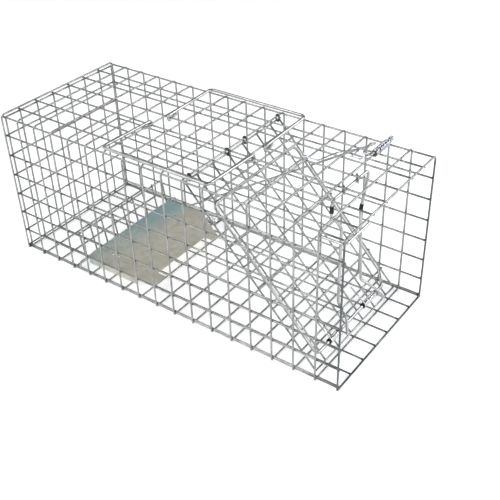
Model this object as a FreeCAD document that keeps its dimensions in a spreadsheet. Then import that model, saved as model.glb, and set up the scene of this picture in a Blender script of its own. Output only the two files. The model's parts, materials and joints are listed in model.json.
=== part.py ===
import FreeCAD, Part
import math
import os
import Sketcher
from FreeCAD import Placement, Rotation, Vector

# A live catch trap: a welded wire cage with a sloping door at one end, a lock bar that holds the
# door shut, a treadle inside, a trigger rod along the far wall and two carrying handles on the roof.
#
# Frame: X runs along the cage towards the door's end, Y across it towards the trigger's side and
# Z up from the floor it stands on. The cage is laid out in mesh cells: along(), across() and up()
# turn a count of cells from the rear, near and bottom wires into millimetres.

DIMENSIONS = [
    ("cells_long", 17, "cells along the cage"),
    ("cells_wide", 7, "cells across the cage"),
    ("cells_high", 7, "cells up the cage"),
    ("pitch_long", 25.4, "cell size along the cage"),
    ("pitch_cross", 25.0, "cell size across and up"),
    ("mesh_wire", 2.0, "diameter of the mesh's wires"),
    ("weld_sink", 0.2, "how far crossing wires are pressed into each other"),
    ("rod_wire", 3.4, "diameter of the door frame and the handles"),
    ("lock_wire", 3.0, "diameter of the lock bar"),
    ("stay_wire", 2.6, "diameter of the stay in the open end"),
    ("pin_wire", 2.4, "diameter of the treadle's rod and the trigger rod"),
    ("clip_wire", 1.6, "diameter of the wire rings"),
    ("spring_wire", 1.4, "diameter of the springs' wire"),
    ("clearance", 0.3, "gap between parts that move past each other"),
    ("fit_gap", 0.1, "radial gap of a turning wire in its ring"),
    ("rear_inset", 4.0, "how far the rear panel's edges lie inside the last ring"),
    ("hinge_drop", 4.2, "door's axis below the roof ring's axis"),
    ("hinge_cell", 10, "ring that the door hangs from"),
    ("door_slope", 47.5, "door's slope below level, in degrees"),
    ("door_length", 222.5, "from the door's axis to its last wire"),
    ("door_cells", 9, "cells down the door"),
    ("door_near_edge", 6.8, "door's near edge wire from the near wall"),
    ("door_far_edge", 167, "door's far edge wire from the near wall"),
    ("frame_top", 33.2, "frame's upper bar from the door's axis"),
    ("frame_bottom", 211, "frame's lower bar from the door's axis"),
    ("frame_near", 16.2, "frame's near bar from the near wall"),
    ("frame_far", 158.8, "frame's far bar from the near wall"),
    ("lock_cell", 15.25, "place of the lock bar's head, in cells"),
    ("lock_drop", 4.7, "lock bar's axis below the roof ring's axis"),
    ("coil_gap", 0.3, "gap between a door spring and the bar inside it"),
    ("treadle_cell", 3.4, "place of the treadle's rod, in cells"),
    ("treadle_rod_height", 11.42, "treadle's rod above the ground"),
    ("sheet_gauge", 0.8, "thickness of the treadle's sheet"),
    ("barrel_gap", 0.08, "radial gap of the rod in the treadle's rolled edge"),
    ("barrel_near", 24, "near end of the rolled edge, from the near wall"),
    ("barrel_far", 152, "far end of the rolled edge, from the near wall"),
    ("plate_near", 13.75, "plate's near side from the near wall"),
    ("plate_far", 161.25, "plate's far side from the near wall"),
    ("plate_reach", 90.2, "plate's front edge from its rod"),
    ("ear_reach", 101.6, "front of the plate's ears from its rod"),
    ("near_ear_end", 35, "far side of the near ear"),
    ("far_ear_start", 120, "near side of the far ear"),
    ("notch_ear", 131.25, "where the far ear's slanting side starts"),
    ("notch_side", 54, "where the slanting side meets the far edge"),
    ("flange_start", 3, "rear end of the side flanges"),
    ("flange_end", 50, "front end of the far flange"),
    ("near_flange_end", 76, "front end of the near flange"),
    ("flange_depth", 6.4, "side flanges below the treadle's rod"),
    ("flange_top", 1.6, "side flanges' upper side, inside the sheet, above the rod"),
    ("slot_start", 18.8, "rear end of the trigger's slot"),
    ("slot_end", 26, "front end of the trigger's slot"),
    ("slot_low", 5.2, "slot's lower side below the rod"),
    ("slot_top", 0.7, "slot's upper side below the rod"),
    ("hole_radius", 1.3, "holes through the plate"),
    ("guard_wires", 9, "upright wires of the bait guard"),
    ("guard_height", 43, "top of the bait guard's wires"),
    ("guard_lean", 10, "how far the guard leans, in degrees"),
    ("hook_height", 8, "trigger rod's hook above the ground"),
    ("hook_cell", 4.35, "place of the trigger rod's hook, in cells"),
    ("trigger_side", 170.25, "trigger rod from the near wall"),
    ("trigger_pin_cell", 15, "ring that the trigger's pin turns over"),
    ("stay_drop", 6.6, "opening stay's axis below the roof rings' axis"),
    ("trigger_pin_rise", 2.4, "trigger's pin above the roof ring's axis"),
    ("tip_reach", 8.75, "trigger's tip beyond the far wall's wires"),
    ("eye_radius", 3.0, "radius of a handle's eyes, to the rod's middle"),
    ("handle_rise", 3.0, "handle's outer bar above the roof ring's axis"),
]

document = FreeCAD.newDocument("live_catch_trap")
sheet = document.addObject("Spreadsheet::Sheet", "dimensions")
for row, (name, value, meaning) in enumerate(DIMENSIONS, start=1):
    sheet.set(f"A{row}", meaning)
    sheet.set(f"B{row}", str(value))
    sheet.setAlias(f"B{row}", name)
document.recompute()
size = {name: float(sheet.get(name)) for name, value, meaning in DIMENSIONS}

wire_radius = size["mesh_wire"] / 2
crossing = size["mesh_wire"] - size["weld_sink"]
sink = size["weld_sink"] / 2
# The trigger's tip stands out beyond the far wall, so the cage lies a little to the near side
# and the middle of the whole trap is at Y = 0.
side_shift = (wire_radius - size["tip_reach"]) / 2
cage_half = size["cells_wide"] * size["pitch_cross"] / 2


def along(cells):
    return (cells - size["cells_long"] / 2) * size["pitch_long"]


def from_near(distance):
    """Y at a distance in millimetres from the near wall's wires."""
    return distance - cage_half + side_shift


def across(cells):
    return from_near(cells * size["pitch_cross"])


def up(cells):
    return wire_radius + cells * size["pitch_cross"]


ring_count = int(size["cells_long"]) + 1
roof = up(size["cells_high"])
near_wall = across(0)
far_wall = across(size["cells_wide"])
near_inside = near_wall + crossing
far_inside = far_wall - crossing
roof_inside = roof - crossing
floor_inside = wire_radius + crossing
lowest_wall_wire = floor_inside + size["mesh_wire"]


LENGTHWISE = Vector(1, 0, 0)
CROSSWISE = Vector(0, 1, 0)
UPWARD = Vector(0, 0, 1)


# ---------------------------------------------------------------- helpers

def aim(start, direction):
    """The placement that stands an upright solid at start and turns it along direction."""
    return Placement(start, Rotation(Vector(0, 0, 1), direction))


def rods(prefix, gauge, length, direction, starts):
    """Straight rods with one length and one direction, one from each starting point."""
    made = []
    for number, start in enumerate(starts):
        rod = document.addObject("Part::Cylinder", f"{prefix}_{number}")
        rod.setExpression("Radius", f"dimensions.{gauge} / 2")
        rod.setExpression("Height", length)
        rod.Placement = aim(start, direction)
        made.append(rod)
    return made


def rod_between(name, gauge, start, end):
    """One straight rod from start to end."""
    rod = document.addObject("Part::Cylinder", name)
    rod.setExpression("Radius", f"dimensions.{gauge} / 2")
    rod.Height = start.distanceToPoint(end)
    rod.Placement = aim(start, end - start)
    return rod


def group(label, members):
    """One sub-part made of separate solids."""
    compound = document.addObject("Part::Compound", label)
    compound.Links = members
    return compound


def rounded_path(points, bends):
    """A wire through points whose corners are tangent arcs, with one bend radius for each corner."""
    edges = []
    last = points[0]
    for before, corner, after, bend in zip(points, points[1:], points[2:], bends):
        inward = (before - corner).normalize()
        outward = (after - corner).normalize()
        turn = math.pi - inward.getAngle(outward)
        if turn < math.radians(0.5):
            continue
        reach = bend * math.tan(turn / 2)
        start = corner + inward * reach
        end = corner + outward * reach
        middle_way = (inward + outward).normalize()
        centre = corner + middle_way * (bend / math.cos(turn / 2))
        if last.distanceToPoint(start) > 1e-4:
            edges.append(Part.LineSegment(last, start).toShape())
        edges.append(Part.Arc(start, centre - middle_way * bend, end).toShape())
        last = end
    if last.distanceToPoint(points[-1]) > 1e-4:
        edges.append(Part.LineSegment(last, points[-1]).toShape())
    return Part.Wire(edges)


def bent_rod(name, gauge, points, bend):
    """A rod of one gauge bent along points, with one bend radius or a list of them."""
    bends = bend if isinstance(bend, list) else [bend] * (len(points) - 2)
    path = document.addObject("Part::Feature", f"{name}_path")
    path.Shape = rounded_path(points, bends)
    section = document.addObject("Part::Circle", f"{name}_section")
    section.setExpression("Radius", f"dimensions.{gauge} / 2")
    section.Placement = aim(points[0], points[1] - points[0])
    sweep = document.addObject("Part::Sweep", name)
    sweep.Sections = [section]
    sweep.Spine = (path, [f"Edge{number + 1}" for number in range(len(path.Shape.Edges))])
    sweep.Solid = True
    sweep.Frenet = False
    return sweep


def tie_ring(name, y, first, second, widest):
    """A wire ring in an upright lengthwise plane, closed round two crosswise wires at (x, z) places.

    widest is the gauge of the thicker of the two wires; the ring hangs tight on the second one."""
    reach = (size[widest] + size["clip_wire"]) / 2 + size["fit_gap"]
    low = Vector(first[0], y, first[1])
    high = Vector(second[0], y, second[1])
    lengthwise = (high - low).normalize()
    high = high - lengthwise * (size[widest] / 2 + size["fit_gap"] - wire_radius)
    sideways = lengthwise.cross(CROSSWISE)
    middle = (low + high) / 2
    half_gap = lengthwise * 0.25
    points = [
        middle + sideways * reach + half_gap,
        high + (sideways + lengthwise) * reach,
        high + (lengthwise - sideways) * reach,
        low - (lengthwise + sideways) * reach,
        low + (sideways - lengthwise) * reach,
        middle + sideways * reach - half_gap,
    ]
    return bent_rod(name, "clip_wire", points, reach)


def tube(name, inner_radius, outer_radius, start, end):
    """A hollow sleeve between two points; both radii are expressions."""
    solids = []
    for part, radius in (("outer", outer_radius), ("inner", inner_radius)):
        cylinder = document.addObject("Part::Cylinder", f"{name}_{part}")
        cylinder.setExpression("Radius", radius)
        cylinder.Height = start.distanceToPoint(end)
        cylinder.Placement = aim(start, end - start)
        solids.append(cylinder)
    sleeve = document.addObject("Part::Cut", name)
    sleeve.Base, sleeve.Tool = solids
    return sleeve


cage_length = "dimensions.cells_long * dimensions.pitch_long + dimensions.mesh_wire"
cage_width = "dimensions.cells_wide * dimensions.pitch_cross + dimensions.mesh_wire"
ring_places = [along(cell) for cell in range(ring_count)]
inner_columns = [across(cell) for cell in range(1, int(size["cells_wide"]))]
inner_levels = [up(cell) for cell in range(1, int(size["cells_high"]))]
rear_end = along(0) - wire_radius


# ---------------------------------------------------------------- cage

def wrap_mesh():
    """Roof and long walls: upright and roof wires on the outside, lengthwise wires inside them."""
    post_length = "dimensions.cells_high * dimensions.pitch_cross + dimensions.weld_sink / 2"
    posts = [Vector(x, y, 0) for x in ring_places for y in (near_wall, far_wall)]
    beams = [Vector(x, near_wall - wire_radius, roof) for x in ring_places]
    levels = [lowest_wall_wire] + inner_levels + [roof_inside]
    stringers = [Vector(rear_end, y, z) for y in (near_inside, far_inside) for z in levels]
    stringers += [Vector(rear_end, y, roof_inside) for y in inner_columns]
    wires = rods("post", "mesh_wire", post_length, UPWARD, posts)
    wires += rods("beam", "mesh_wire", cage_width, CROSSWISE, beams)
    wires += rods("stringer", "mesh_wire", cage_length, LENGTHWISE, stringers)
    return group("wrap_mesh", wires)


def floor_mesh():
    """Crosswise wires on the ground between the walls and lengthwise wires on top of them."""
    slat_length = (
        "dimensions.cells_wide * dimensions.pitch_cross - dimensions.mesh_wire + dimensions.weld_sink"
    )
    slats = [Vector(x, near_wall + wire_radius - sink, wire_radius) for x in ring_places]
    columns = [near_inside] + inner_columns + [far_inside]
    runners = [Vector(rear_end, y, floor_inside) for y in columns]
    wires = rods("slat", "mesh_wire", slat_length, CROSSWISE, slats)
    wires += rods("runner", "mesh_wire", cage_length, LENGTHWISE, runners)
    return group("floor_mesh", wires)


def rear_panel():
    """The panel nested in the last ring, with upright wires on its inner side."""
    inset = size["rear_inset"]
    panel_x = along(0)
    walls_and_welds = "3 * dimensions.mesh_wire + 3 * dimensions.weld_sink"
    bar_length = f"dimensions.cells_wide * dimensions.pitch_cross - {walls_and_welds}"
    stake_length = f"dimensions.cells_high * dimensions.pitch_cross - {walls_and_welds}"
    bar_start = near_inside + wire_radius - sink
    stake_start = floor_inside + wire_radius - sink
    levels = [wire_radius + inset] + inner_levels + [roof - inset]
    columns = [near_wall + inset] + inner_columns + [far_wall - inset]
    bars = [Vector(panel_x, bar_start, z) for z in levels]
    stakes = [Vector(panel_x + crossing, y, stake_start) for y in columns]
    wires = rods("rear_bar", "mesh_wire", bar_length, CROSSWISE, bars)
    wires += rods("rear_stake", "mesh_wire", stake_length, UPWARD, stakes)
    return group("rear_panel", wires)


def opening_stay():
    """An L of thicker rod under the open end's near top corner, welded to the last posts from inside."""
    radius = size["stay_wire"] / 2
    x = along(size["cells_long"]) + wire_radius - radius
    y = near_wall + wire_radius - sink + radius
    z = roof - size["stay_drop"]
    points = [Vector(x, across(1.73), z), Vector(x, y, z), Vector(along(15.9), y, z)]
    return bent_rod("opening_stay", "stay_wire", points, 3)


# ---------------------------------------------------------------- door

hinge_x = along(size["hinge_cell"])
hinge_z = roof - size["hinge_drop"]
slope = math.radians(size["door_slope"])
down_slope = Vector(math.cos(slope), 0, -math.sin(slope))
off_slope = Vector(math.sin(slope), 0, math.cos(slope))


def on_door(distance, y, lift=0.0):
    """The point at a distance down the door from its axis, lifted off its crosswise wires' plane."""
    return Vector(hinge_x, y, hinge_z) + down_slope * distance + off_slope * lift


def door_hinge_clips():
    """Rings that tie the door's top wire under the roof ring."""
    clips = [
        tie_ring(f"hinge_clip_{number}", across(cell), (hinge_x, hinge_z), (hinge_x, roof), "mesh_wire")
        for number, cell in enumerate([0.5, 2.9, 4.1, 6.5])
    ]
    return group("door_hinge_clips", clips)


def door_mesh():
    """Crosswise wires from the door's axis down, and sloping wires on its inner face."""
    near_edge = from_near(size["door_near_edge"])
    far_edge = from_near(size["door_far_edge"])
    rung_length = "dimensions.door_far_edge - dimensions.door_near_edge + dimensions.mesh_wire"
    rail_length = "dimensions.door_length + dimensions.mesh_wire"
    pitch = size["door_length"] / size["door_cells"]
    rungs = [
        on_door(number * pitch, near_edge - wire_radius) for number in range(int(size["door_cells"]) + 1)
    ]
    rails = [on_door(-wire_radius, y, -crossing) for y in [near_edge] + inner_columns + [far_edge]]
    wires = rods("door_rung", "mesh_wire", rung_length, CROSSWISE, rungs)
    wires += rods("door_rail", "mesh_wire", rail_length, down_slope, rails)
    return group("door_mesh", wires)


frame_lift = (size["mesh_wire"] + size["rod_wire"]) / 2 - sink


def door_frame():
    """A rod bent into a rectangle, its ends meeting in the middle of the upper bar."""
    near = from_near(size["frame_near"])
    far = from_near(size["frame_far"])
    middle = (near + far) / 2
    top = size["frame_top"]
    bottom = size["frame_bottom"]
    places = [
        (top, middle - 0.1), (top, near), (bottom, near), (bottom, far - 10), (bottom - 15, far), (top, far),
        (top, middle + 0.1),
    ]
    points = [on_door(distance, y, frame_lift) for distance, y in places]
    return bent_rod("door_frame", "rod_wire", points, 6)


def lock_spring(label, near_end, far_end):
    """A torsion spring on the frame's lower bar: its coil, and a leg that lies up the door."""
    start = on_door(size["frame_bottom"], across(near_end), frame_lift)
    end = on_door(size["frame_bottom"], across(far_end), frame_lift)
    inner = "dimensions.rod_wire / 2 + dimensions.coil_gap"
    coil = tube(f"{label}_coil", inner, f"{inner} + dimensions.spring_wire", start, end)
    wind = size["rod_wire"] / 2 + size["coil_gap"] + size["spring_wire"] / 2
    leg_y = across(near_end) + size["spring_wire"] / 2
    foot = on_door(size["frame_bottom"] - 3, leg_y, frame_lift + wind)
    tip = on_door(size["frame_bottom"] - 24, leg_y, frame_lift - 0.4)
    leg = rod_between(f"{label}_leg", "spring_wire", foot, tip)
    return group(label, [coil, leg])


# ---------------------------------------------------------------- lock

lock_x = along(size["lock_cell"])
lock_z = roof - size["lock_drop"]
near_shoulder_z = 155
waist_z = up(5.2)
head_near, head_far, far_waist = 2.15, 4.95, 4.4


def lock_bar():
    """A wide head under the roof, two necks and two long legs whose feet reach round the door's bar."""
    knee_height = 40
    foot_bend = Vector(lock_x + 13.5, 0, 28)
    foot_tip = Vector(lock_x + 18.5, 0, 13.5)
    half = [
        (lock_x, head_near, lock_z), (lock_x, head_near, near_shoulder_z), (lock_x, 2.95, waist_z),
        (lock_x, 2.95, knee_height), (foot_bend.x, 2.75, foot_bend.z), (foot_tip.x, 2.5, foot_tip.z),
    ]
    other = [
        (lock_x, head_far, lock_z), (lock_x, far_waist, waist_z), (lock_x, 4.8, knee_height),
        (foot_bend.x, 5.15, foot_bend.z), (foot_tip.x, 5.5, foot_tip.z),
    ]
    points = [Vector(x, across(cell), z) for x, cell, z in half[::-1] + other]
    return bent_rod("lock_bar", "lock_wire", points, 5)


def lock_bar_sleeves():
    """Dark sleeves on the lock bar, below its near shoulder and above its far waist."""
    inner = "dimensions.lock_wire / 2"
    below_head = Vector(lock_x, across(head_near), lock_z - 5.3)
    waist = Vector(lock_x, across(far_waist), waist_z)
    neck = (Vector(lock_x, across(head_far), lock_z) - waist).normalize()
    runs = [(below_head, below_head - UPWARD * 7.5), (waist + neck * 1.5, waist + neck * 7)]
    sleeves = [
        tube(f"sleeve_{number}", inner, f"{inner} + 0.5", start, end)
        for number, (start, end) in enumerate(runs)
    ]
    return group("lock_bar_sleeves", sleeves)


def lock_hanger_clips():
    """Rings tied diagonally round the lock bar's head and the roof's middle lengthwise wires over it."""
    clip_radius = size["clip_wire"] / 2
    top = roof_inside + wire_radius + clip_radius + 0.05
    bottom = lock_z - size["lock_wire"] / 2 - clip_radius - size["fit_gap"]
    middle = (top + bottom) / 2
    reach = math.sqrt(2) * (size["lock_wire"] / 2 + clip_radius + size["fit_gap"])
    aside = Vector(1, -1, 0).normalize() * reach
    clips = []
    for number, cell in enumerate([3, 4]):
        centre = Vector(lock_x, across(cell), 0)
        points = [
            centre + aside + UPWARD * (middle + 0.25),
            centre + aside + UPWARD * top,
            centre - aside + UPWARD * top,
            centre - aside + UPWARD * bottom,
            centre + aside + UPWARD * bottom,
            centre + aside + UPWARD * (middle - 0.25),
        ]
        clips.append(bent_rod(f"hanger_clip_{number}", "clip_wire", points, 1.3))
    return group("lock_hanger_clips", clips)


# ---------------------------------------------------------------- treadle

treadle_x = along(size["treadle_cell"])
treadle_z = size["treadle_rod_height"]


def treadle_hinge_rod():
    """A rod across the cage whose ends turn down onto the lowest wires of the walls."""
    foot = lowest_wall_wire + wire_radius - sink
    points = [
        Vector(treadle_x, near_inside, foot),
        Vector(treadle_x, near_inside, treadle_z),
        Vector(treadle_x, far_inside, treadle_z),
        Vector(treadle_x, far_inside, foot),
    ]
    return bent_rod("treadle_hinge_rod", "pin_wire", points, 2.6)


def bait_guard():
    """A comb of leaning upright wires just behind the treadle, with a rail at its top and its foot."""
    lean = math.radians(size["guard_lean"])
    climb = Vector(-math.sin(lean), 0, math.cos(lean))
    barrel_radius = size["pin_wire"] / 2 + size["barrel_gap"] + size["sheet_gauge"]
    beside_rod = Vector(treadle_x - barrel_radius - size["clearance"] - wire_radius - 0.3, 0, treadle_z)
    rail_height = lowest_wall_wire + size["mesh_wire"] - sink
    foot = beside_rod + climb * ((rail_height - treadle_z) / climb.z - wire_radius)
    count = int(size["guard_wires"])
    first = across(0.6)
    spacing = (across(6.39) - first) / (count - 1)
    starts = [foot + CROSSWISE * (first + number * spacing) for number in range(count)]
    length = f"(dimensions.guard_height - {foot.z}) / cos(dimensions.guard_lean)"
    wires = rods("guard_wire", "mesh_wire", length, climb, starts)
    behind = Vector(-math.cos(lean), 0, -math.sin(lean)) * crossing
    low = foot + climb * wire_radius + behind
    high = foot + climb * ((up(1.55) - foot.z) / climb.z) + behind
    foot_rail_start = Vector(low.x, near_wall + wire_radius, low.z)
    foot_rail_end = Vector(low.x, far_wall - wire_radius, low.z)
    top_rail_start = Vector(high.x, across(0.5), high.z)
    top_rail_end = Vector(high.x, across(6.5), high.z)
    wires.append(rod_between("guard_foot_rail", "mesh_wire", foot_rail_start, foot_rail_end))
    wires.append(rod_between("guard_top_rail", "mesh_wire", top_rail_start, top_rail_end))
    return group("bait_guard", wires)


def origin_plane(body, role):
    return next(plane for plane in body.Origin.OriginFeatures if plane.Role == role)


def new_sketch(body, name, role, offset=0.0):
    """A sketch on one of the body's own planes, moved along the plane's normal."""
    sketch = body.newObject("Sketcher::SketchObject", name)
    sketch.AttachmentSupport = [(origin_plane(body, role), "")]
    sketch.MapMode = "FlatFace"
    sketch.AttachmentOffset = Placement(Vector(0, 0, offset), Rotation())
    return sketch


def pin_point(sketch, line, x_name, y_name):
    """Holds a line's first point at two cells of the sheet; a name with a minus is measured backwards."""
    for kind, name in (("DistanceX", x_name), ("DistanceY", y_name)):
        if name is None:
            sketch.addConstraint(Sketcher.Constraint("PointOnObject", line, 1, -2))
            continue
        sign = "-" if name.startswith("-") else ""
        alias = name.lstrip("-")
        value = -size[alias] if sign else size[alias]
        number = sketch.addConstraint(Sketcher.Constraint(kind, -1, 1, line, 1, value))
        sketch.setExpression(f"Constraints[{number}]", f"{sign}dimensions.{alias}")


def draw_outline(sketch, corners):
    """A closed outline whose corners are pairs of the sheet's names; None puts a corner on the Y axis."""
    def place(name):
        if name is None:
            return 0.0
        return -size[name[1:]] if name.startswith("-") else size[name]

    places = [Vector(place(x_name), place(y_name), 0) for x_name, y_name in corners]
    count = len(places)
    for number in range(count):
        sketch.addGeometry(Part.LineSegment(places[number], places[(number + 1) % count]), False)
    for number in range(count):
        sketch.addConstraint(Sketcher.Constraint("Coincident", number, 2, (number + 1) % count, 1))
    for number, (x_name, y_name) in enumerate(corners):
        pin_point(sketch, number, x_name, y_name)


def pad(body, sketch, name, length):
    feature = body.newObject("PartDesign::Pad", name)
    feature.Profile = sketch
    feature.setExpression("Length", length)
    return feature


def treadle_plate():
    """The treadle's sheet with its rolled rear edge, side flanges, holes and the trigger's slot.

    The body's own origin is on the treadle's rod, level with the near wall's wires."""
    body = document.addObject("PartDesign::Body", "treadle_plate")
    body.Placement = Placement(Vector(treadle_x, near_wall, treadle_z), Rotation())
    inner = size["pin_wire"] / 2 + size["barrel_gap"]
    gauge = "dimensions.sheet_gauge"

    outline = new_sketch(body, "treadle_outline", "XY_Plane", inner)
    draw_outline(outline, [
        (None, "plate_near"), ("ear_reach", "plate_near"), ("ear_reach", "near_ear_end"),
        ("plate_reach", "near_ear_end"), ("plate_reach", "far_ear_start"), ("ear_reach", "far_ear_start"),
        ("ear_reach", "notch_ear"), ("notch_side", "plate_far"), (None, "plate_far"),
    ])
    pad(body, outline, "treadle_sheet", gauge)
    document.recompute()

    barrel = new_sketch(body, "treadle_barrel", "XZ_Plane", -size["barrel_far"])
    for alias_sum, radius in (
        ("dimensions.pin_wire / 2 + dimensions.barrel_gap", inner),
        ("dimensions.pin_wire / 2 + dimensions.barrel_gap + dimensions.sheet_gauge",
         inner + size["sheet_gauge"]),
    ):
        circle = barrel.addGeometry(Part.Circle(Vector(0, 0, 0), Vector(0, 0, 1), radius), False)
        barrel.addConstraint(Sketcher.Constraint("Coincident", circle, 3, -1, 1))
        number = barrel.addConstraint(Sketcher.Constraint("Radius", circle, radius))
        barrel.setExpression(f"Constraints[{number}]", alias_sum)
    pad(body, barrel, "rolled_edge", "dimensions.barrel_far - dimensions.barrel_near")
    document.recompute()

    for side, alias, end in (("near", "plate_near", "near_flange_end"), ("far", "plate_far", "flange_end")):
        inward = 0.0 if side == "far" else size["sheet_gauge"]
        flange = new_sketch(body, f"{side}_flange_outline", "XZ_Plane", -size[alias] - inward)
        draw_outline(flange, [
            ("flange_start", "-flange_depth"), (end, "-flange_depth"), (end, "flange_top"),
            ("flange_start", "flange_top"),
        ])
        pad(body, flange, f"{side}_flange", gauge)
        document.recompute()

    slot = new_sketch(body, "slot_outline", "XZ_Plane", -size["plate_far"])
    draw_outline(slot, [
        ("slot_start", "-slot_low"), ("slot_end", "-slot_low"), ("slot_end", "-slot_top"),
        ("slot_start", "-slot_top"),
    ])
    cut_slot = body.newObject("PartDesign::Pocket", "trigger_slot")
    cut_slot.Profile = slot
    cut_slot.Midplane = True
    cut_slot.setExpression("Length", "4 * dimensions.sheet_gauge")
    document.recompute()

    holes = new_sketch(body, "hole_centres", "XY_Plane", inner)
    for cell_x, cell_y in ((4.31, 1.34), (4.65, 1.34), (4.24, 5.54), (4.56, 5.54)):
        centre = Vector(along(cell_x) - treadle_x, across(cell_y) - near_wall, 0)
        circle = holes.addGeometry(Part.Circle(centre, Vector(0, 0, 1), size["hole_radius"]), False)
        number = holes.addConstraint(Sketcher.Constraint("Radius", circle, size["hole_radius"]))
        holes.setExpression(f"Constraints[{number}]", "dimensions.hole_radius")
        holes.addConstraint(Sketcher.Constraint("DistanceX", -1, 1, circle, 3, centre.x))
        holes.addConstraint(Sketcher.Constraint("DistanceY", -1, 1, circle, 3, centre.y))
    cut_holes = body.newObject("PartDesign::Pocket", "plate_holes")
    cut_holes.Profile = holes
    cut_holes.Midplane = True
    cut_holes.setExpression("Length", "4 * dimensions.sheet_gauge")
    document.recompute()
    return body


plate_underside = treadle_z + size["pin_wire"] / 2 + size["barrel_gap"]
tab_near = across(5.75)
tab_far = across(6.36)
tab_rear = along(5.95)


def treadle_tab():
    """A bright tab riveted under the plate, its turned-up end showing in the notched corner."""
    gauge = size["sheet_gauge"]
    tongue = document.addObject("Part::Box", "tab_tongue")
    tongue.Length = 16
    tongue.Width = tab_far - tab_near
    tongue.setExpression("Height", "dimensions.sheet_gauge")
    tongue.Placement.Base = Vector(tab_rear, tab_near, plate_underside - gauge)
    lip = document.addObject("Part::Box", "tab_lip")
    lip.Length = 16
    lip.setExpression("Width", "dimensions.sheet_gauge")
    lip.Height = 5
    lip.Placement.Base = Vector(tab_rear, tab_far - gauge, plate_underside - gauge)
    tab = document.addObject("Part::MultiFuse", "treadle_tab")
    tab.Shapes = [tongue, lip]
    return tab


def treadle_rivets():
    """Two rivets through the tab and the plate: a low head on top of each."""
    head_top = plate_underside + size["sheet_gauge"]
    rivets = []
    for number, cell in enumerate([6.05, 6.4]):
        head = document.addObject("Part::Cone", f"rivet_{number}")
        head.Radius1 = 1.8
        head.Radius2 = 1.1
        head.Height = 0.9
        head.Placement.Base = Vector(along(cell), tab_near + 2.6, head_top)
        rivets.append(head)
    return group("treadle_rivets", rivets)


# ---------------------------------------------------------------- trigger

pin_x = along(size["trigger_pin_cell"])
pin_z = roof + size["trigger_pin_rise"]


def trigger_rod():
    """Hook in the treadle's slot, long rod up the far wall, and a pin over the roof with a pointed tip."""
    side = from_near(size["trigger_side"])
    hook_x = along(size["hook_cell"])
    radius = size["pin_wire"] / 2
    tip_cone = 4
    tip_y = far_wall + size["tip_reach"]
    points = [
        Vector(hook_x, across(6.28), size["hook_height"]),
        Vector(hook_x, side, size["hook_height"]),
        Vector(along(14.5), side, roof - 3.4),
        Vector(along(14.53), across(6.3), pin_z),
        Vector(along(14.66), across(5.5), pin_z),
        Vector(pin_x, across(5.5), pin_z),
        Vector(pin_x, tip_y - tip_cone, pin_z),
    ]
    rod = bent_rod("trigger_bent_rod", "pin_wire", points, 2.4)
    tip = document.addObject("Part::Cone", "trigger_tip")
    tip.setExpression("Radius1", "dimensions.pin_wire / 2")
    tip.Radius2 = radius * 0.2
    tip.Height = tip_cone
    tip.Placement = aim(Vector(pin_x, tip_y - tip_cone, pin_z), CROSSWISE)
    trigger = document.addObject("Part::MultiFuse", "trigger_rod")
    trigger.Shapes = [rod, tip]
    return trigger


def trigger_spring():
    """Close coils round the pin and the roof ring, and a wire that forks and runs to a roof wire."""
    coil_z = (roof + pin_z) / 2
    inner = "dimensions.trigger_pin_rise / 2 + dimensions.pin_wire / 2 + 0.2"
    outer = f"{inner} + dimensions.spring_wire"
    pieces = []
    for number, (near_end, far_end) in enumerate([(5.72, 5.94), (6.06, 6.85), (7.06, 7.2)]):
        start = Vector(pin_x, across(near_end), coil_z)
        end = Vector(pin_x, across(far_end), coil_z)
        pieces.append(tube(f"trigger_coil_{number}", inner, outer, start, end))
    wire_z = roof + wire_radius + size["spring_wire"] / 2 + 0.1
    places = [(14.8, 5.0), (14.4, 5.0), (14.4, 5.75), (13.8, 5.0), (13.5, 4.05), (12.8, 4.0)]
    start = Vector(along(14.84), across(5.71), roof - 0.4)
    rest = Vector(along(12.72), across(4.0), roof_inside + wire_radius + size["spring_wire"] / 2)
    points = [start] + [Vector(along(x), across(y), wire_z) for x, y in places] + [rest]
    pieces.append(bent_rod("trigger_spring_leg", "spring_wire", points, 1.6))
    return group("trigger_spring", pieces)


# ---------------------------------------------------------------- handles

def handle(label, rear_cell, front_cell, axis_cell, bar_cell):
    """A bail whose legs end in eyes round a lengthwise roof wire; each eye's tail points to the bar."""
    axis_y = across(axis_cell)
    bar_y = across(bar_cell)
    toward_bar = 1 if bar_y > axis_y else -1
    radius = size["eye_radius"]
    bar_z = roof + size["handle_rise"]
    reach = abs(bar_y - axis_y)
    rise = bar_z - roof_inside

    # In the eye's plane: u points from the roof wire to the bar and v points up.
    far_angle = math.atan2(rise, reach)
    touch = far_angle + math.acos(radius / math.hypot(reach, rise))
    tail_turn = math.radians(195)
    step = tail_turn / 3
    corners = []
    for number in range(3):
        angle = touch + step * (number + 0.5)
        corners.append((math.cos(angle) * radius / math.cos(step / 2),
                        math.sin(angle) * radius / math.cos(step / 2)))
    last = touch + tail_turn
    tail = 10
    corners.append((math.cos(last) * radius - math.sin(last) * tail,
                    math.sin(last) * radius + math.cos(last) * tail))

    def eye(x):
        return [Vector(x, axis_y + toward_bar * u, roof_inside + v) for u, v in corners]

    rear_x = along(rear_cell)
    front_x = along(front_cell)
    points = eye(rear_x)[::-1]
    points += [Vector(rear_x, bar_y, bar_z), Vector(front_x, bar_y, bar_z)]
    points += eye(front_x)
    eye_bends = [radius] * 3
    bar_bends = [5.5, 5.5]
    return bent_rod(label, "rod_wire", points, eye_bends + bar_bends + eye_bends)


# ---------------------------------------------------------------- the trap

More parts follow.
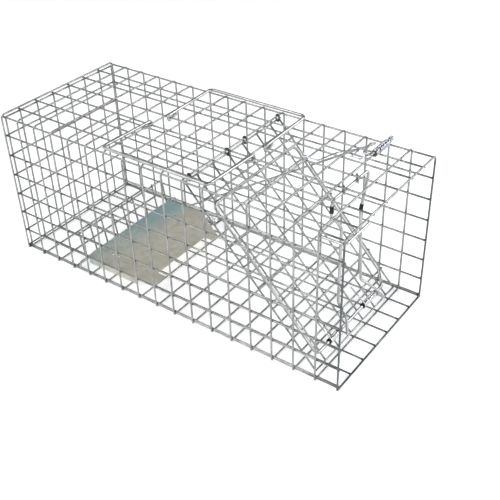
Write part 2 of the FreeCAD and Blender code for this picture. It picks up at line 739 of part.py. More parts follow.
subparts = [
    wrap_mesh(),
    floor_mesh(),
    rear_panel(),
    opening_stay(),
    door_hinge_clips(),
    lock_hanger_clips(),
    treadle_hinge_rod(),
    bait_guard(),
    trigger_spring(),
    door_mesh(),
    door_frame(),
    lock_spring("lock_spring_near", 1.6, 2.2),
    lock_spring("lock_spring_far", 4.3, 5.3),
    lock_bar(),
    lock_bar_sleeves(),
    treadle_plate(),
    treadle_tab(),
    treadle_rivets(),
    trigger_rod(),
    handle("near_handle", 5.85, 11.15, 3, 0.15),
    handle("far_handle", 6.15, 11.15, 4, 6.9),
]
document.recompute()

for item in document.Objects:
    if "Invalid" in item.State or "Error" in item.State:
        raise RuntimeError(f"{item.Label} failed: {item.State}")
for part in subparts:
    if part.Shape.isNull() or not part.Shape.isValid():
        raise RuntimeError(f"{part.Label} has no valid shape")

os.makedirs("parts", exist_ok=True)
for part in subparts:
    part.Shape.exportStep(f"parts/{part.Label}.step")
    box = part.Shape.BoundBox
    print(f"{part.Label}: {len(part.Shape.Solids)} solids, {part.Shape.Volume:.1f} mm3, "
          f"z {box.ZMin:.2f} to {box.ZMax:.2f}")
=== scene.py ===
import bpy
import json
import math
import random
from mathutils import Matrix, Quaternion, Vector


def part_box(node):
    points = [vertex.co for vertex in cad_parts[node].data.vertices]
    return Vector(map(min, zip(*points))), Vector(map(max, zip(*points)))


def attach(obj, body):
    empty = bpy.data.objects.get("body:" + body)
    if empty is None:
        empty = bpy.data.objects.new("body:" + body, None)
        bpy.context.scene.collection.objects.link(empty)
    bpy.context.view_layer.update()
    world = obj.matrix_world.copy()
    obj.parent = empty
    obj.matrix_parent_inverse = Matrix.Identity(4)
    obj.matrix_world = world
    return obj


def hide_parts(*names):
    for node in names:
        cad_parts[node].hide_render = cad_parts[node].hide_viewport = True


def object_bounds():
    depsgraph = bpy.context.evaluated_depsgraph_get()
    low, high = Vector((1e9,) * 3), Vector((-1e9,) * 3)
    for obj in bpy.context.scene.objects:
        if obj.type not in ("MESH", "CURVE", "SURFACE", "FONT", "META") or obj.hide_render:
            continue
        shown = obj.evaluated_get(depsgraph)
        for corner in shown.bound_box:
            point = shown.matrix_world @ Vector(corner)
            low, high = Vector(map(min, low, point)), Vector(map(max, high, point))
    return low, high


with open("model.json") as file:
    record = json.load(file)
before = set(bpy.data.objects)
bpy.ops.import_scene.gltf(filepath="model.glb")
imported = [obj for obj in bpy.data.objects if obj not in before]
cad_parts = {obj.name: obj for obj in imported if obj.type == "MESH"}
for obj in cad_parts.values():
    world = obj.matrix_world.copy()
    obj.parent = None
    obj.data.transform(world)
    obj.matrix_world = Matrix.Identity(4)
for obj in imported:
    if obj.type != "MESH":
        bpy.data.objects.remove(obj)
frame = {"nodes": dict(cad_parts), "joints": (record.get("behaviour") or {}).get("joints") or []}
cad_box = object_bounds()
joints = {joint["name"]: joint for joint in frame["joints"]}

# ---------------------------------------------------------------- sizes, in metres

CELLS_LONG = 17
CELLS_WIDE = 7
CELLS_HIGH = 7
WIRE = 0.0010            # radius of the mesh's wires
CROSSING = 0.0018        # from one wire's middle to the crossing wire's middle
ROD = 0.0017             # radius of the door frame's rod
SPRING_WIRE = 0.0007     # radius of the springs' wire
CORNER_BEND = 0.0045     # radius of the roof's folded edges
DOOR_SLOPE = math.radians(47.5)
DOOR_CELLS = 9
DOOR_LENGTH = 0.2225     # from the door's axis to its last wire
FRAME_BOTTOM = 0.211     # from the door's axis to its frame's lower bar
PIN_RISE = 0.0024        # the trigger's pin above the roof ring
PIN_RADIUS = 0.0012
PIN_CELL = 15            # the roof ring that the trigger's pin turns over
PANEL_INSET = 0.004      # the rear panel's edge wires inside the last ring
WELD_SINK = 0.00005      # how far the frame's rod is pressed into the door's wires

# Detail that only the visual model has.
TIP_WIDTH = 0.62         # a wire's cut end, as a share of its radius
TIP_LENGTH = 0.35        # length of the chamfer at a cut end, in radii
BEAD_WIDTH = 1.25        # half a weld bead along each wire, in wire radii
BEAD_DEPTH = 1.02        # half a weld bead from wire to wire, in wire radii
BEAD_INSET = 1.3         # a bead's middle from the cage's ends, in wire radii
BEAD_RINGS = 5
BEAD_SIDES = 8
WIRE_SIDES = 12
SPRING_SIDES = 8
BOW = 0.00018            # how far a drawn wire may stray between its ends
WRAP_BOW = 0.00012
DOOR_BOW = 0.0001
BOW_ROOM = 0.0002        # keeps the rear panel's bowed wires inside the cage's end
CURL_FOOT = 1.8          # curl under the floor's edge wires, in wire radii: its foot,
CURL_REACH = 3.4         # how far it reaches in from the wall,
CURL_RISE = 3.3          # and how high its end is
CURL_BEND = 0.0009       # radius of the curl's bends
COIL_GAP = 0.0003        # between a door spring's turns and the rod inside them
COIL_PITCH = 2.25        # from one turn of a door spring to the next, in spring wire radii
COIL_STEPS = 14          # points in each turn
SHADOW_BUSH_WALL = 0.00025      # painted shadow: a dark bush between the rod and a door spring, for the shade inside the coil
SHADOW_COLLAR_LENGTH = 0.0024   # painted shadow: a dark collar at each end of a door spring, for the shade in its open ends
SHADOW_COLLAR_RISE = 0.6        # the collar over the middle of the spring's wire, in spring wire radii
LEG_FOOT = 0.003         # a door spring's leg starts this far up the door from the lower bar
LEG_TIP = 0.024          # and ends this far up it
LEG_SINK = 0.0004        # a leg's end is let into what it rests on by this much

# The camera, in metres, degrees and a lens in millimetres. Its aim is from the middle of the object's box.
CAMERA_AZIMUTH = 36.63
CAMERA_ELEVATION = 35.32
CAMERA_DISTANCE = 0.9084
CAMERA_AIM = (0.0497, -0.0011, -0.0432)
CAMERA_LENS = 59.72
CAMERA_ROLL = -1.71

mesh_low, mesh_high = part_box("wrap_mesh")
pitch_long = (mesh_high.x - mesh_low.x - 2 * WIRE) / CELLS_LONG
pitch_cross = (mesh_high.y - mesh_low.y - 2 * WIRE) / CELLS_WIDE
roof = mesh_high.z - WIRE
near_wall = mesh_low.y + WIRE
far_wall = mesh_high.y - WIRE
near_inside = near_wall + CROSSING
far_inside = far_wall - CROSSING
roof_inside = roof - CROSSING
floor_inside = WIRE + CROSSING
lowest_wall_wire = floor_inside + 2 * WIRE


def along(cells):
    """X of a place given in cells from the rear end."""
    return mesh_low.x + WIRE + cells * pitch_long


def across(cells):
    """Y of a place given in cells from the near wall."""
    return near_wall + cells * pitch_cross


def up(cells):
    """Z of a place given in cells from the floor."""
    return WIRE + cells * pitch_cross


# ---------------------------------------------------------------- camera, light and floor

def look(location, target, roll_degrees=0.0):
    """The rotation of a camera or lamp at location that faces target."""
    facing = (target - location).to_track_quat("-Z", "Y")
    return facing @ Quaternion((0, 0, 1), math.radians(roll_degrees))


def add_camera():
    azimuth = math.radians(CAMERA_AZIMUTH)
    elevation = math.radians(CAMERA_ELEVATION)
    level = Vector((math.sin(azimuth), -math.cos(azimuth), 0))
    back = level * math.cos(elevation) + Vector((0, 0, math.sin(elevation)))
    target = (cad_box[0] + cad_box[1]) / 2 + Vector(CAMERA_AIM)
    data = bpy.data.cameras.new("camera")
    data.lens = CAMERA_LENS
    data.clip_start = 0.05
    data.clip_end = 50
    camera = bpy.data.objects.new("camera", data)
    camera.location = target + back * CAMERA_DISTANCE
    camera.rotation_mode = "QUATERNION"
    camera.rotation_quaternion = look(camera.location, target, CAMERA_ROLL)
    bpy.context.scene.collection.objects.link(camera)
    bpy.context.scene.camera = camera


def add_area_light(name, location, size, power, colour):
    """A soft rectangular lamp that faces the middle of the cage."""
    data = bpy.data.lights.new(name, "AREA")
    data.shape = "RECTANGLE"
    data.size, data.size_y = size
    data.energy = power
    data.color = colour
    lamp = bpy.data.objects.new(name, data)
    lamp.location = location
    lamp.rotation_mode = "QUATERNION"
    lamp.rotation_quaternion = look(Vector(location), Vector((0, 0, 0.08)))
    bpy.context.scene.collection.objects.link(lamp)


def add_lights():
    add_area_light("key_light", (-0.7, -1.4, 1.5), (0.9, 0.7), 14, (1.0, 0.99, 0.97))
    add_area_light("fill_light", (1.7, -0.3, 0.9), (0.5, 0.8), 9, (0.96, 0.98, 1.0))
    add_area_light("left_light", (-0.75, -0.55, 1.35), (1.1, 0.9), 5, (1.0, 0.985, 0.95))
    add_area_light("back_light", (0.72, 0.74, 0.72), (0.35, 0.3), 4.5, (0.97, 0.98, 1.0))


def add_world():
    """A studio dome with a bright band above the horizon and a dim top, so wires get light and dark lines."""
    world = bpy.data.worlds.new("studio")
    world.use_nodes = True
    bpy.context.scene.world = world
    nodes, links = world.node_tree.nodes, world.node_tree.links
    background = nodes["Background"]
    place = nodes.new("ShaderNodeTexCoord")
    split = nodes.new("ShaderNodeSeparateXYZ")
    ramp = nodes.new("ShaderNodeValToRGB")
    bands = ramp.color_ramp.elements
    bands[0].position, bands[0].color = 0.0, (0.75, 0.76, 0.78, 1)
    bands[1].position, bands[1].color = 1.0, (0.10, 0.10, 0.11, 1)
    for position, level in ((0.12, 1.0), (0.34, 0.9), (0.48, 0.16)):
        band = bands.new(position)
        band.color = (level, level, level * 1.02, 1)
    links.new(place.outputs["Generated"], split.inputs[0])
    links.new(split.outputs["Z"], ramp.inputs["Fac"])
    links.new(ramp.outputs["Color"], background.inputs["Color"])
    background.inputs["Strength"].default_value = 0.8


def add_floor():
    """A plain pale floor, with a little light of its own so that it stays pale under the soft lamps."""
    half = 12.0
    mesh = bpy.data.meshes.new("studio_floor")
    corners = [(-half, -half, 0), (half, -half, 0), (half, half, 0), (-half, half, 0)]
    mesh.from_pydata(corners, [], [(0, 1, 2, 3)])
    floor = bpy.data.objects.new("studio_floor", mesh)
    bpy.context.scene.collection.objects.link(floor)
    material = bpy.data.materials.new("pale_floor")
    material.use_nodes = True
    shader = material.node_tree.nodes["Principled BSDF"]
    shader.inputs["Base Color"].default_value = (0.91, 0.92, 0.95, 1)
    shader.inputs["Roughness"].default_value = 0.9
    shader.inputs["Specular IOR Level"].default_value = 0.1
    shader.inputs["Emission Color"].default_value = (1.0, 1.0, 1.0, 1)
    shader.inputs["Emission Strength"].default_value = 0.52
    mesh.materials.append(material)


# ---------------------------------------------------------------- materials

def ramp_between(nodes, low, high, low_at, high_at):
    """A colour ramp node from one colour to another."""
    ramp = nodes.new("ShaderNodeValToRGB")
    ramp.color_ramp.elements[0].position = low_at
    ramp.color_ramp.elements[0].color = (*low, 1)
    ramp.color_ramp.elements[1].position = high_at
    ramp.color_ramp.elements[1].color = (*high, 1)
    return ramp


def plated_steel(name, dark, light, roughness, grain, bump=0.15):
    """Zinc plate: mottled tone, patchy dullness and fine drawn grain, all in the object's own space."""
    material = bpy.data.materials.new(name)
    material.use_nodes = True
    nodes, links = material.node_tree.nodes, material.node_tree.links
    shader = nodes["Principled BSDF"]
    shader.inputs["Metallic"].default_value = 1.0
    place = nodes.new("ShaderNodeTexCoord")

    patches = nodes.new("ShaderNodeTexNoise")
    patches.inputs["Scale"].default_value = 95.0
    patches.inputs["Detail"].default_value = 6.0
    patches.inputs["Roughness"].default_value = 0.65
    tone = ramp_between(nodes, dark, light, 0.32, 0.66)
    links.new(place.outputs["Object"], patches.inputs["Vector"])
    links.new(patches.outputs["Fac"], tone.inputs["Fac"])
    links.new(tone.outputs["Color"], shader.inputs["Base Color"])

    fine = nodes.new("ShaderNodeTexNoise")
    fine.inputs["Scale"].default_value = grain
    fine.inputs["Detail"].default_value = 4.0
    links.new(place.outputs["Object"], fine.inputs["Vector"])

    dullness = nodes.new("ShaderNodeMapRange")
    dullness.inputs["To Min"].default_value = roughness[0]
    dullness.inputs["To Max"].default_value = roughness[1]
    links.new(fine.outputs["Fac"], dullness.inputs["Value"])
    links.new(dullness.outputs["Result"], shader.inputs["Roughness"])

    relief = nodes.new("ShaderNodeBump")
    relief.inputs["Strength"].default_value = bump
    relief.inputs["Distance"].default_value = 0.0001
    links.new(fine.outputs["Fac"], relief.inputs["Height"])
    links.new(relief.outputs["Normal"], shader.inputs["Normal"])
    return material


def paint_shade_on_last_ring(material):
    """Paints shade on the open end's last ring, below the roof: multiplies the wire's colour by a dim teal
    there.
    """
    nodes, links = material.node_tree.nodes, material.node_tree.links
    shader = nodes["Principled BSDF"]
    tone = shader.inputs["Base Color"].links[0].from_socket
    place = nodes.new("ShaderNodeTexCoord")
    split = nodes.new("ShaderNodeSeparateXYZ")
    links.new(place.outputs["Object"], split.inputs[0])
    near_end = nodes.new("ShaderNodeMapRange")
    near_end.inputs["From Min"].default_value = mesh_high.x - 4 * WIRE
    near_end.inputs["From Max"].default_value = mesh_high.x - 2.5 * WIRE
    links.new(split.outputs["X"], near_end.inputs["Value"])
    below = nodes.new("ShaderNodeMapRange")
    below.inputs["From Min"].default_value = roof - 2 * WIRE
    below.inputs["From Max"].default_value = roof - 6 * WIRE
    links.new(split.outputs["Z"], below.inputs["Value"])
    share = nodes.new("ShaderNodeMath")
    share.operation = "MULTIPLY"
    links.new(near_end.outputs["Result"], share.inputs[0])
    links.new(below.outputs["Result"], share.inputs[1])
    # painted shade: a dim teal multiplier darkens the last ring below the roof, where shade falls
    painted_shade = nodes.new("ShaderNodeMix")
    painted_shade.data_type = "RGBA"
    painted_shade.blend_type = "MULTIPLY"
    painted_shade.inputs["B"].default_value = (0.36, 0.40, 0.41, 1)
    links.new(share.outputs["Value"], painted_shade.inputs["Factor"])
    links.new(tone, painted_shade.inputs["A"])
    links.new(painted_shade.outputs["Result"], shader.inputs["Base Color"])


def treadle_material():
    """Galvanised sheet: warm grey in the middle, with spangle; a teal tint towards its rear and far edges is
    painted shade and reflection.
    """
    material = plated_steel(
        "galvanised_sheet", (0.70, 0.675, 0.56), (0.80, 0.775, 0.66), (0.30, 0.46), 420.0, 0.1
    )
    nodes, links = material.node_tree.nodes, material.node_tree.links
    shader = nodes["Principled BSDF"]
    shader.inputs["Metallic"].default_value = 0.3
    low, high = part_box("treadle_plate")
    tone = shader.inputs["Base Color"].links[0].from_socket

    place = nodes.new("ShaderNodeTexCoord")
    split = nodes.new("ShaderNodeSeparateXYZ")
    links.new(place.outputs["Object"], split.inputs[0])
    rear = nodes.new("ShaderNodeMapRange")
    rear.interpolation_type = "SMOOTHSTEP"
    rear.inputs["From Min"].default_value = low.x + 0.052
    rear.inputs["From Max"].default_value = low.x
    far = nodes.new("ShaderNodeMapRange")
    far.interpolation_type = "SMOOTHSTEP"
    far.inputs["From Min"].default_value = low.y + 0.03
    far.inputs["From Max"].default_value = high.y
    links.new(split.outputs["X"], rear.inputs["Value"])
    links.new(split.outputs["Y"], far.inputs["Value"])
    both = nodes.new("ShaderNodeMath")
    both.operation = "MULTIPLY"
    links.new(rear.outputs["Result"], both.inputs[0])
    links.new(far.outputs["Result"], both.inputs[1])
    share = nodes.new("ShaderNodeMath")
    share.operation = "MULTIPLY_ADD"
    share.inputs[1].default_value = 0.55
    links.new(rear.outputs["Result"], share.inputs[0])
    links.new(both.outputs["Value"], share.inputs[2])
    share.use_clamp = True

    spangle = nodes.new("ShaderNodeTexVoronoi")
    spangle.inputs["Scale"].default_value = 160.0
    links.new(place.outputs["Object"], spangle.inputs["Vector"])
    flakes = ramp_between(nodes, (0.90, 0.90, 0.90), (1.06, 1.06, 1.06), 0.1, 0.9)
    links.new(spangle.outputs["Color"], flakes.inputs["Fac"])

    # painted shade and reflection: teal tint towards the plate's rear and far edges
    shade_and_reflection_tint = nodes.new("ShaderNodeMix")
    shade_and_reflection_tint.data_type = "RGBA"
    shade_and_reflection_tint.inputs["B"].default_value = (0.42, 0.60, 0.61, 1)
    links.new(share.outputs["Value"], shade_and_reflection_tint.inputs["Factor"])
    links.new(tone, shade_and_reflection_tint.inputs["A"])
    speckle = nodes.new("ShaderNodeMix")
    speckle.data_type = "RGBA"
    speckle.blend_type = "MULTIPLY"
    speckle.inputs["Factor"].default_value = 1.0
    links.new(shade_and_reflection_tint.outputs["Result"], speckle.inputs["A"])
    links.new(flakes.outputs["Color"], speckle.inputs["B"])
    links.new(speckle.outputs["Result"], shader.inputs["Base Color"])
    return material


def sleeve_and_shadow_material():
    """Near-black, non-metallic, with a fine grain and scuffed, lighter patches: used on the lock bar's dark
    sleeves, and as painted shadow in the door springs' bushes and collars.
    """
    material = plated_steel("dark_sleeve", (0.006, 0.006, 0.007), (0.022, 0.022, 0.024), (0.5, 0.7), 700.0)
    shader = material.node_tree.nodes["Principled BSDF"]
    shader.inputs["Metallic"].default_value = 0.0
    shader.inputs["Specular IOR Level"].default_value = 0.25
    return material


# ---------------------------------------------------------------- wire building

class WireBuilder:
    """Collects tubes and weld beads, then makes them one piece."""

    def __init__(self):
        self.vertices = []
        self.faces = []
        self.slots = []

    def tube(self, points, radius, sides=WIRE_SIDES, slot=0):
        """A tube along points with chamfered ends."""
        points = [Vector(point) for point in points]
        first = (points[1] - points[0]).normalized()
        last = (points[-1] - points[-2]).normalized()
        chamfer, tip = radius * TIP_LENGTH, radius * TIP_WIDTH
        rings = [(points[0], tip), (points[0] + first * chamfer, radius)]
        rings += [(point, radius) for point in points[1:-1]]
        rings += [(points[-1] - last * chamfer, radius), (points[-1], tip)]
        centres = [ring[0] for ring in rings]
        normal = first.orthogonal().normalized()
        start = len(self.vertices)
        direction = first
        for number, (centre, width) in enumerate(rings):
            ahead = centres[min(number + 1, len(rings) - 1)] - centres[max(number - 1, 0)]
            turned = ahead.normalized()
            normal = direction.rotation_difference(turned) @ normal
            normal = (normal - turned * normal.dot(turned)).normalized()
            direction = turned
            side = direction.cross(normal)
            for step in range(sides):
                angle = 2 * math.pi * step / sides
                self.vertices.append(centre + (normal * math.cos(angle) + side * math.sin(angle)) * width)
        for ring in range(len(rings) - 1):
            base = start + ring * sides
            for step in range(sides):
                after = (step + 1) % sides
                self.faces.append((base + step, base + after, base + sides + after, base + sides + step))
                self.slots.append(slot)
        end = start + (len(rings) - 1) * sides
        self.faces.append(tuple(start + step for step in reversed(range(sides))))
        self.faces.append(tuple(end + step for step in range(sides)))
        self.slots += [slot, slot]

    def bead(self, centre, axes, slot=1):
        """A weld bead: a small ellipsoid whose three half-axes are vectors."""
        rings, sides = BEAD_RINGS, BEAD_SIDES
        start = len(self.vertices)
        wide, deep, tall = axes
        self.vertices.append(centre - tall)
        for ring in range(1, rings):
            lift = -math.cos(math.pi * ring / rings)
            spread = math.sin(math.pi * ring / rings)
            for step in range(sides):
                angle = 2 * math.pi * step / sides
                offset = (wide * math.cos(angle) + deep * math.sin(angle)) * spread + tall * lift
                self.vertices.append(centre + offset)
        self.vertices.append(centre + tall)
        top = len(self.vertices) - 1
        for step in range(sides):
            after = (step + 1) % sides
            self.faces.append((start, start + 1 + after, start + 1 + step))
            last = start + 1 + (rings - 2) * sides
            self.faces.append((last + step, last + after, top))
            self.slots += [slot, slot]
            for ring in range(rings - 2):
                base = start + 1 + ring * sides
                self.faces.append((base + step, base + after, base + sides + after, base + sides + step))
                self.slots.append(slot)

    def piece(self, name, materials, body, slot, *nodes):
        """Makes one object of everything collected, riding on a body in place of CAD nodes."""
        mesh = bpy.data.meshes.new(name)
        mesh.from_pydata([tuple(vertex) for vertex in self.vertices], [], self.faces)
        for material in materials:
            mesh.materials.append(material)
        mesh.polygons.foreach_set("material_index", self.slots)
        mesh.shade_smooth()
        mesh.update()
        made = bpy.data.objects.new(name, mesh)
        bpy.context.scene.collection.objects.link(made)
        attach(made, body)
        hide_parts(*nodes)


def rounded(points, radius, steps=6):
    """Points along a path whose corners are arcs, tighter where two corners are close together."""
    points = [Vector(point) for point in points]
    path = [points[0]]
    for before, corner, after in zip(points, points[1:], points[2:]):
        inward = (before - corner).normalized()
        outward = (after - corner).normalized()
        turn = math.pi - inward.angle(outward)
        if turn < 0.01:
            path.append(corner)
            continue
        room = min((before - corner).length, (after - corner).length) * 0.49
        reach = min(radius * math.tan(turn / 2), room)
        bend = reach / math.tan(turn / 2)
        centre = corner + (inward + outward).normalized() * (bend / math.cos(turn / 2))
        start = corner + inward * reach - centre
        axis = inward.cross(outward).normalized()
        for step in range(steps + 1):
            path.append(centre + Quaternion(axis, -turn * step / steps) @ start)
    path.append(points[-1])
    return path


def winding(start, end, radii, turns, side, other, steps=COIL_STEPS):
    """Points of a coil from start to end; turns and radii are its first and last turn and radius."""
    count = max(2, int((turns[1] - turns[0]) * steps))
    path = []
    for step in range(count + 1):
        part = step / count
        angle = 2 * math.pi * (turns[0] + (turns[1] - turns[0]) * part)
        radius = radii[0] + (radii[1] - radii[0]) * part
        middle = start.lerp(end, part)
        path.append(middle + (side * math.cos(angle) + other * math.sin(angle)) * radius)
    return path


def bowed(start, end, shake, amount=BOW, steps=9):
    """A nearly straight wire: drawn wire is never quite true between its welds."""
    start, end = Vector(start), Vector(end)
    axis = (end - start).normalized()
    side = axis.orthogonal().normalized()
    other = axis.cross(side)
    first, second = shake.uniform(-amount, amount), shake.uniform(-amount, amount)
    path = []
    for step in range(steps + 1):
        part = step / steps
        swell = math.sin(math.pi * part)
        ripple = math.sin(3 * math.pi * part)
        path.append(start.lerp(end, part) + side * first * swell + other * second * ripple)
    return path


# ---------------------------------------------------------------- cage

ring_places = [along(cell) for cell in range(CELLS_LONG + 1)]
inner_columns = [across(cell) for cell in range(1, CELLS_WIDE)]
inner_levels = [up(cell) for cell in range(1, CELLS_HIGH)]
LENGTHWISE = Vector((1, 0, 0))
CROSSWISE = Vector((0, 1, 0))
UPWARD = Vector((0, 0, 1))


def bead_place(x, y, z):
    """A bead's middle, kept far enough in from the cage's ends for its own width."""
    inset = BEAD_INSET * WIRE
    return Vector((min(max(x, mesh_low.x + inset), mesh_high.x - inset), y, z))


def weld_axes(first, second):
    """A bead's half-axes at a crossing of two wires: wide along both, thin between them."""
    wide, deep = WIRE * BEAD_WIDTH, WIRE * BEAD_DEPTH
    return first * wide, second * wide, first.cross(second) * deep


def build_wrap(mesh_materials):
    """Each ring is one wire: up the near wall, over the roof's folded edges and down the far wall."""
    shake = random.Random(17)
    wires = WireBuilder()
    foot, reach, rise = CURL_FOOT * WIRE, CURL_REACH * WIRE, CURL_RISE * WIRE
    for x in ring_places:
        corners = [
            (x, near_wall + reach, rise), (x, near_wall + foot, WIRE), (x, near_wall, WIRE),
            (x, near_wall, roof), (x, far_wall, roof),
            (x, far_wall, WIRE), (x, far_wall - foot, WIRE), (x, far_wall - reach, rise),
        ]
        wires.tube(bend_ring(corners), WIRE)
    levels = [lowest_wall_wire] + inner_levels + [roof_inside]
    rear_end, door_end = mesh_low.x, mesh_high.x
    stringers = [(y, z) for y in (near_inside, far_inside) for z in levels]
    stringers += [(y, roof_inside) for y in inner_columns]
    for y, z in stringers:
        wires.tube(bowed((rear_end, y, z), (door_end, y, z), shake, WRAP_BOW, 17), WIRE)
    for x in ring_places:
        for wall, inside in ((near_wall, near_inside), (far_wall, far_inside)):
            for z in [lowest_wall_wire] + inner_levels:
                wires.bead(bead_place(x, (wall + inside) / 2, z), weld_axes(LENGTHWISE, UPWARD))
        for y in inner_columns:
            wires.bead(bead_place(x, y, (roof + roof_inside) / 2), weld_axes(LENGTHWISE, CROSSWISE))
    wires.piece("cage_wrap", mesh_materials, "root", "zinc_mesh", "wrap_mesh")


def bend_ring(corners):
    """The ring's path: small curls under the floor's edge wires and larger bends at the roof's edges."""
    near_middle = (Vector(corners[2]) + Vector(corners[3])) / 2
    far_middle = (Vector(corners[4]) + Vector(corners[5])) / 2
    left = rounded(corners[:3] + [near_middle], CURL_BEND, 3)
    over = rounded([left[-1]] + corners[3:5] + [far_middle], CORNER_BEND)
    right = rounded([over[-1]] + corners[5:], CURL_BEND, 3)
    return left[:-1] + over + right[1:]


def build_floor(mesh_materials):
    """Crosswise wires between the walls, with the lengthwise wires welded on them."""
    shake = random.Random(7)
    wires = WireBuilder()
    for x in ring_places:
        wires.tube([(x, near_wall + WIRE, WIRE), (x, far_wall - WIRE, WIRE)], WIRE)
    for y in [near_inside] + inner_columns + [far_inside]:
        wires.tube(bowed((mesh_low.x, y, floor_inside), (mesh_high.x, y, floor_inside), shake), WIRE)
        for x in ring_places:
            wires.bead(bead_place(x, y, (WIRE + floor_inside) / 2), weld_axes(LENGTHWISE, CROSSWISE))
    wires.piece("cage_floor", mesh_materials, "root", "zinc_mesh", "floor_mesh")


def build_rear_panel(mesh_materials):
    """Level wires outside, upright wires inside, its edges within the wrap's last ring."""
    shake = random.Random(5)
    wires = WireBuilder()
    low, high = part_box("rear_panel")
    bar_x, stake_x = low.x + WIRE + BOW_ROOM, high.x - WIRE
    levels = [WIRE + PANEL_INSET] + inner_levels + [roof - PANEL_INSET]
    columns = [near_wall + PANEL_INSET] + inner_columns + [far_wall - PANEL_INSET]
    for z in levels:
        wires.tube(bowed((bar_x, low.y, z), (bar_x, high.y, z), shake), WIRE)
    for y in columns:
        wires.tube(bowed((stake_x, y, low.z), (stake_x, y, high.z), shake), WIRE)
        for z in levels:
            wires.bead(Vector(((bar_x + stake_x) / 2, y, z)), weld_axes(CROSSWISE, UPWARD))
    wires.piece("rear_end_panel", mesh_materials, "root", "zinc_mesh", "rear_panel")


# ---------------------------------------------------------------- door

hinge = Vector(joints["door_swing"]["pos_m"])
down_slope = Vector((math.cos(DOOR_SLOPE), 0, -math.sin(DOOR_SLOPE)))
off_slope = Vector((math.sin(DOOR_SLOPE), 0, math.cos(DOOR_SLOPE)))


def on_door(distance, y, lift=0.0):
    """The point at a distance down the door from its axis, lifted off its crosswise wires."""
    return Vector((hinge.x, y, hinge.z)) + down_slope * distance + off_slope * lift


def build_door(mesh_materials):
    """Crosswise wires from the door's axis down, with the sloping wires welded on their inner side."""
    shake = random.Random(9)
    wires = WireBuilder()
    low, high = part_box("door_mesh")
    near_edge, far_edge = low.y + WIRE, high.y - WIRE
    rails = [near_edge] + inner_columns + [far_edge]
    rungs = [number * DOOR_LENGTH / DOOR_CELLS for number in range(DOOR_CELLS + 1)]
    for distance in rungs:
        wires.tube(bowed(on_door(distance, low.y), on_door(distance, high.y), shake, DOOR_BOW), WIRE)
    for y in rails:
        top, bottom = on_door(-WIRE, y, -CROSSING), on_door(DOOR_LENGTH + WIRE, y, -CROSSING)
        wires.tube(bowed(top, bottom, shake, DOOR_BOW), WIRE)
        for distance in rungs:
            wires.bead(on_door(distance, y, -CROSSING / 2), weld_axes(down_slope, CROSSWISE))
    wires.piece("door_panel", mesh_materials, "door", "zinc_mesh", "door_mesh")


# ---------------------------------------------------------------- springs

def build_lock_springs(metal, shade):
    """Torsion springs on the frame's lower bar, each with a leg up the door; a dark bush inside and dark
    collars at the ends are painted shadow, for the shade between coil and rod.
    """
    lift = WIRE + ROD - WELD_SINK
    wind = ROD + COIL_GAP + SPRING_WIRE
    shadow_collar = CROSSWISE * SHADOW_COLLAR_LENGTH
    shadow_collar_radius = wind + SPRING_WIRE * SHADOW_COLLAR_RISE
    inset = CROSSWISE * SPRING_WIRE
    for node, near_cell, far_cell in (("lock_spring_near", 1.6, 2.2), ("lock_spring_far", 4.3, 5.3)):
        coil = WireBuilder()
        start = on_door(FRAME_BOTTOM, across(near_cell), lift)
        end = on_door(FRAME_BOTTOM, across(far_cell), lift)
        turns = round((end - start).length / (SPRING_WIRE * COIL_PITCH)) + 0.25
        path = winding(start + inset, end - inset, (wind, wind), (0, turns), off_slope, down_slope)
        leg_y = path[0].y
        leg = [
            on_door(FRAME_BOTTOM - LEG_TIP, leg_y, lift - LEG_SINK),
            on_door(FRAME_BOTTOM - LEG_FOOT, leg_y, lift + wind),
        ]
        tail = [path[-1] + off_slope * 0.002 - CROSSWISE * 0.001, path[-1] + off_slope * 0.006]
        coil.tube(leg + path + tail, SPRING_WIRE, SPRING_SIDES)
        # painted shadow: dark bush and end collars, for the shade between the coil and the rod
        coil.tube([start, end], ROD + SHADOW_BUSH_WALL, 12, 1)
        coil.tube([start - shadow_collar, start], shadow_collar_radius, 16, 1)
        coil.tube([end, end + shadow_collar], shadow_collar_radius, 16, 1)
        coil.piece(node + "_coil", [metal, shade], "door", "spring_steel", node)


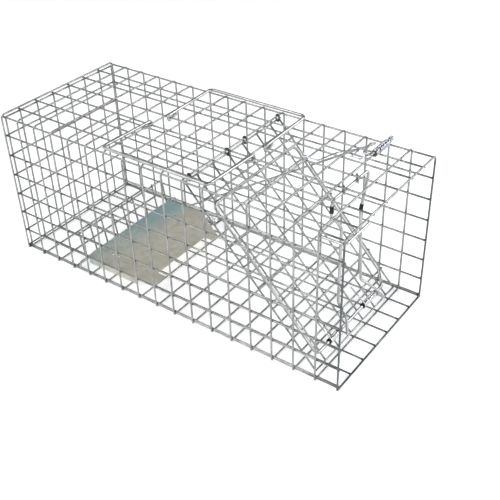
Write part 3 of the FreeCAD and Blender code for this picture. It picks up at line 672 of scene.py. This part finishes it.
def build_trigger_spring(metal):
    """Close turns round the pin and the roof ring, tight turns on the pin's end, and a long bent leg.

    The turns pass over the roof's lengthwise wire with half a turn, and the leg lies on the roof."""
    spring = WireBuilder()
    pin_x = along(PIN_CELL)
    pin_z = roof + PIN_RISE
    coil_z = (roof + pin_z) / 2
    wide = PIN_RISE / 2 + 0.0014 + SPRING_WIRE
    tight = PIN_RADIUS + SPRING_WIRE

    def place(cell, z=coil_z):
        return Vector((pin_x, across(cell), z))

    stretches = [
        (place(5.72), place(5.94), (wide, wide), (-3.5, 0)),
        (place(5.94), place(6.06), (wide, wide), (0, 0.5)),
        (place(6.06), place(6.82), (wide, wide), (0.5, 12.5)),
        (place(6.82), place(7.06, pin_z), (wide, tight), (12.5, 13.25)),
        (place(7.06, pin_z), place(7.2, pin_z), (tight, tight), (13.25, 15.5)),
    ]
    coil = []
    for start, end, radii, turns in stretches:
        coil = coil[:-1] + winding(start, end, radii, turns, LENGTHWISE, UPWARD)

    on_roof = roof + WIRE + SPRING_WIRE + 0.0001
    on_lengthwise_wire = roof_inside + WIRE + SPRING_WIRE
    route = [(12.8, 4.0), (13.5, 4.05), (13.8, 5.0), (14.4, 5.75), (14.4, 5.0), (14.8, 5.0)]
    leg = [Vector((along(12.72), across(4.0), on_lengthwise_wire))]
    leg += [Vector((along(x), across(y), on_roof)) for x, y in route]
    leg += [Vector((along(14.84), across(5.7), roof - LEG_SINK)), coil[0]]
    spring.tube(rounded(leg, 0.0016, 4) + coil[1:], SPRING_WIRE, SPRING_SIDES)
    spring.piece("trigger_spring_coil", [metal], "root", "spring_steel", "trigger_spring")


add_camera()
add_world()
add_lights()
add_floor()

zinc_wire = plated_steel("zinc_wire", (0.225, 0.233, 0.226), (0.43, 0.44, 0.425), (0.26, 0.42), 1500.0, 0.05)
# painted shade on the open end's last ring, below the roof
paint_shade_on_last_ring(zinc_wire)
weld_metal = plated_steel("weld_metal", (0.05, 0.05, 0.05), (0.16, 0.16, 0.155), (0.35, 0.6), 2400.0, 0.4)
zinc_rod = plated_steel("zinc_rod", (0.34, 0.35, 0.335), (0.57, 0.575, 0.56), (0.24, 0.36), 1200.0, 0.05)
clip_metal = plated_steel("clip_metal", (0.05, 0.05, 0.055), (0.16, 0.16, 0.17), (0.30, 0.5), 1800.0)
spring_metal = plated_steel("spring_metal", (0.40, 0.42, 0.46), (0.66, 0.69, 0.74), (0.12, 0.25), 1600.0)
bright_metal = plated_steel("bright_metal", (0.66, 0.67, 0.68), (0.82, 0.83, 0.84), (0.15, 0.3), 900.0)
# near-black, also used as painted shadow on the door springs
dark_sleeve = sleeve_and_shadow_material()
mesh_materials = [zinc_wire, weld_metal]

build_wrap(mesh_materials)
build_floor(mesh_materials)
build_rear_panel(mesh_materials)
build_door(mesh_materials)
build_lock_springs(bright_metal, dark_sleeve)
build_trigger_spring(spring_metal)

cad_materials = {
    "opening_stay": zinc_rod,
    "door_frame": zinc_rod,
    "near_handle": zinc_rod,
    "far_handle": zinc_rod,
    "lock_bar": zinc_rod,
    "lock_hanger_clips": zinc_rod,
    "treadle_hinge_rod": zinc_rod,
    "trigger_rod": zinc_rod,
    "bait_guard": zinc_wire,
    "door_hinge_clips": clip_metal,
    "lock_bar_sleeves": dark_sleeve,
    "treadle_rivets": bright_metal,
    "treadle_tab": bright_metal,
    "treadle_plate": treadle_material(),
}
for node_name, material in cad_materials.items():
    node = frame["nodes"][node_name]
    node.data.materials.clear()
    node.data.materials.append(material)

bpy.context.scene.view_settings.view_transform = "Standard"
